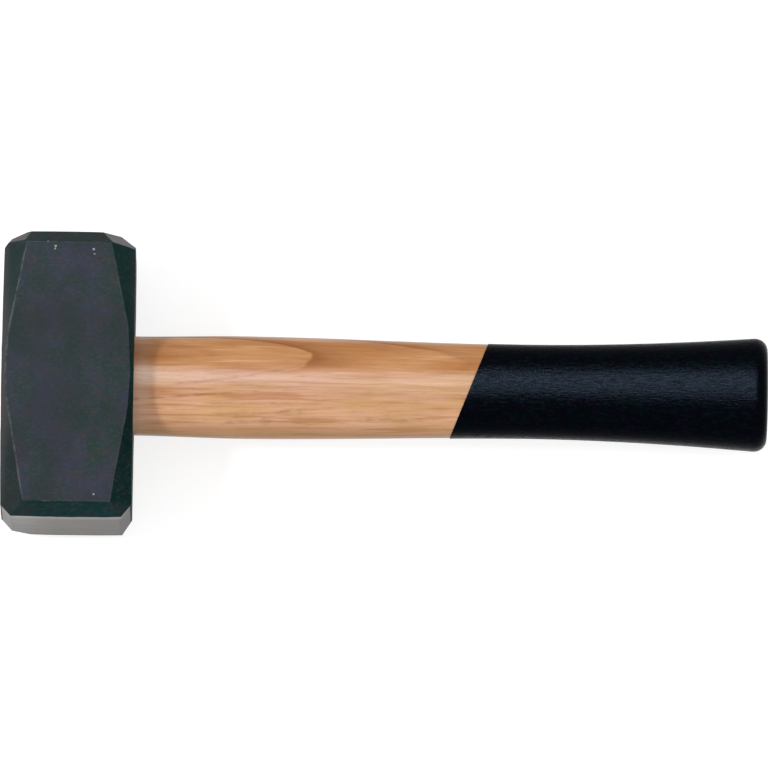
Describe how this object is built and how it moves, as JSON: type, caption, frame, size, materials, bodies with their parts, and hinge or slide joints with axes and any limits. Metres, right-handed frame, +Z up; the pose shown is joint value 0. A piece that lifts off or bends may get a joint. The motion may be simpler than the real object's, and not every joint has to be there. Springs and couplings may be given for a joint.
{
  "type": "club hammer",
  "caption": "Short-handled club hammer: a chamfered block head with two flat striking faces, wedged on an oval ash handle whose grip is dipped in dark lacquer.",
  "frame": {"origin": "centre of the cheek that the hammer lies on, under the middle of the head", "axes": "+X from the head along the handle, +Y from one striking face to the other, +Z up out of the cheek it lies on"},
  "size_m": [0.2598, 0.0988, 0.044],
  "materials": {
    "head_steel": "dark slate lacquer over forged steel, bare ground steel on the striking faces and the bevels beside them",
    "handle_ash": "clear-lacquered ash with grain along the handle",
    "wedge_wood": "end grain of a hardwood wedge",
    "wedge_steel": "bright steel rim of the ring wedge",
    "grip_lacquer": "satin blue-black dipped lacquer with the wood's grain showing through"
  },
  "bodies": {
    "root": {"head": "head_steel", "handle": "handle_ash", "wooden_wedge": "wedge_wood", "ring_wedge": "wedge_steel", "grip_coating": "grip_lacquer"}
  },
  "joints": []
}
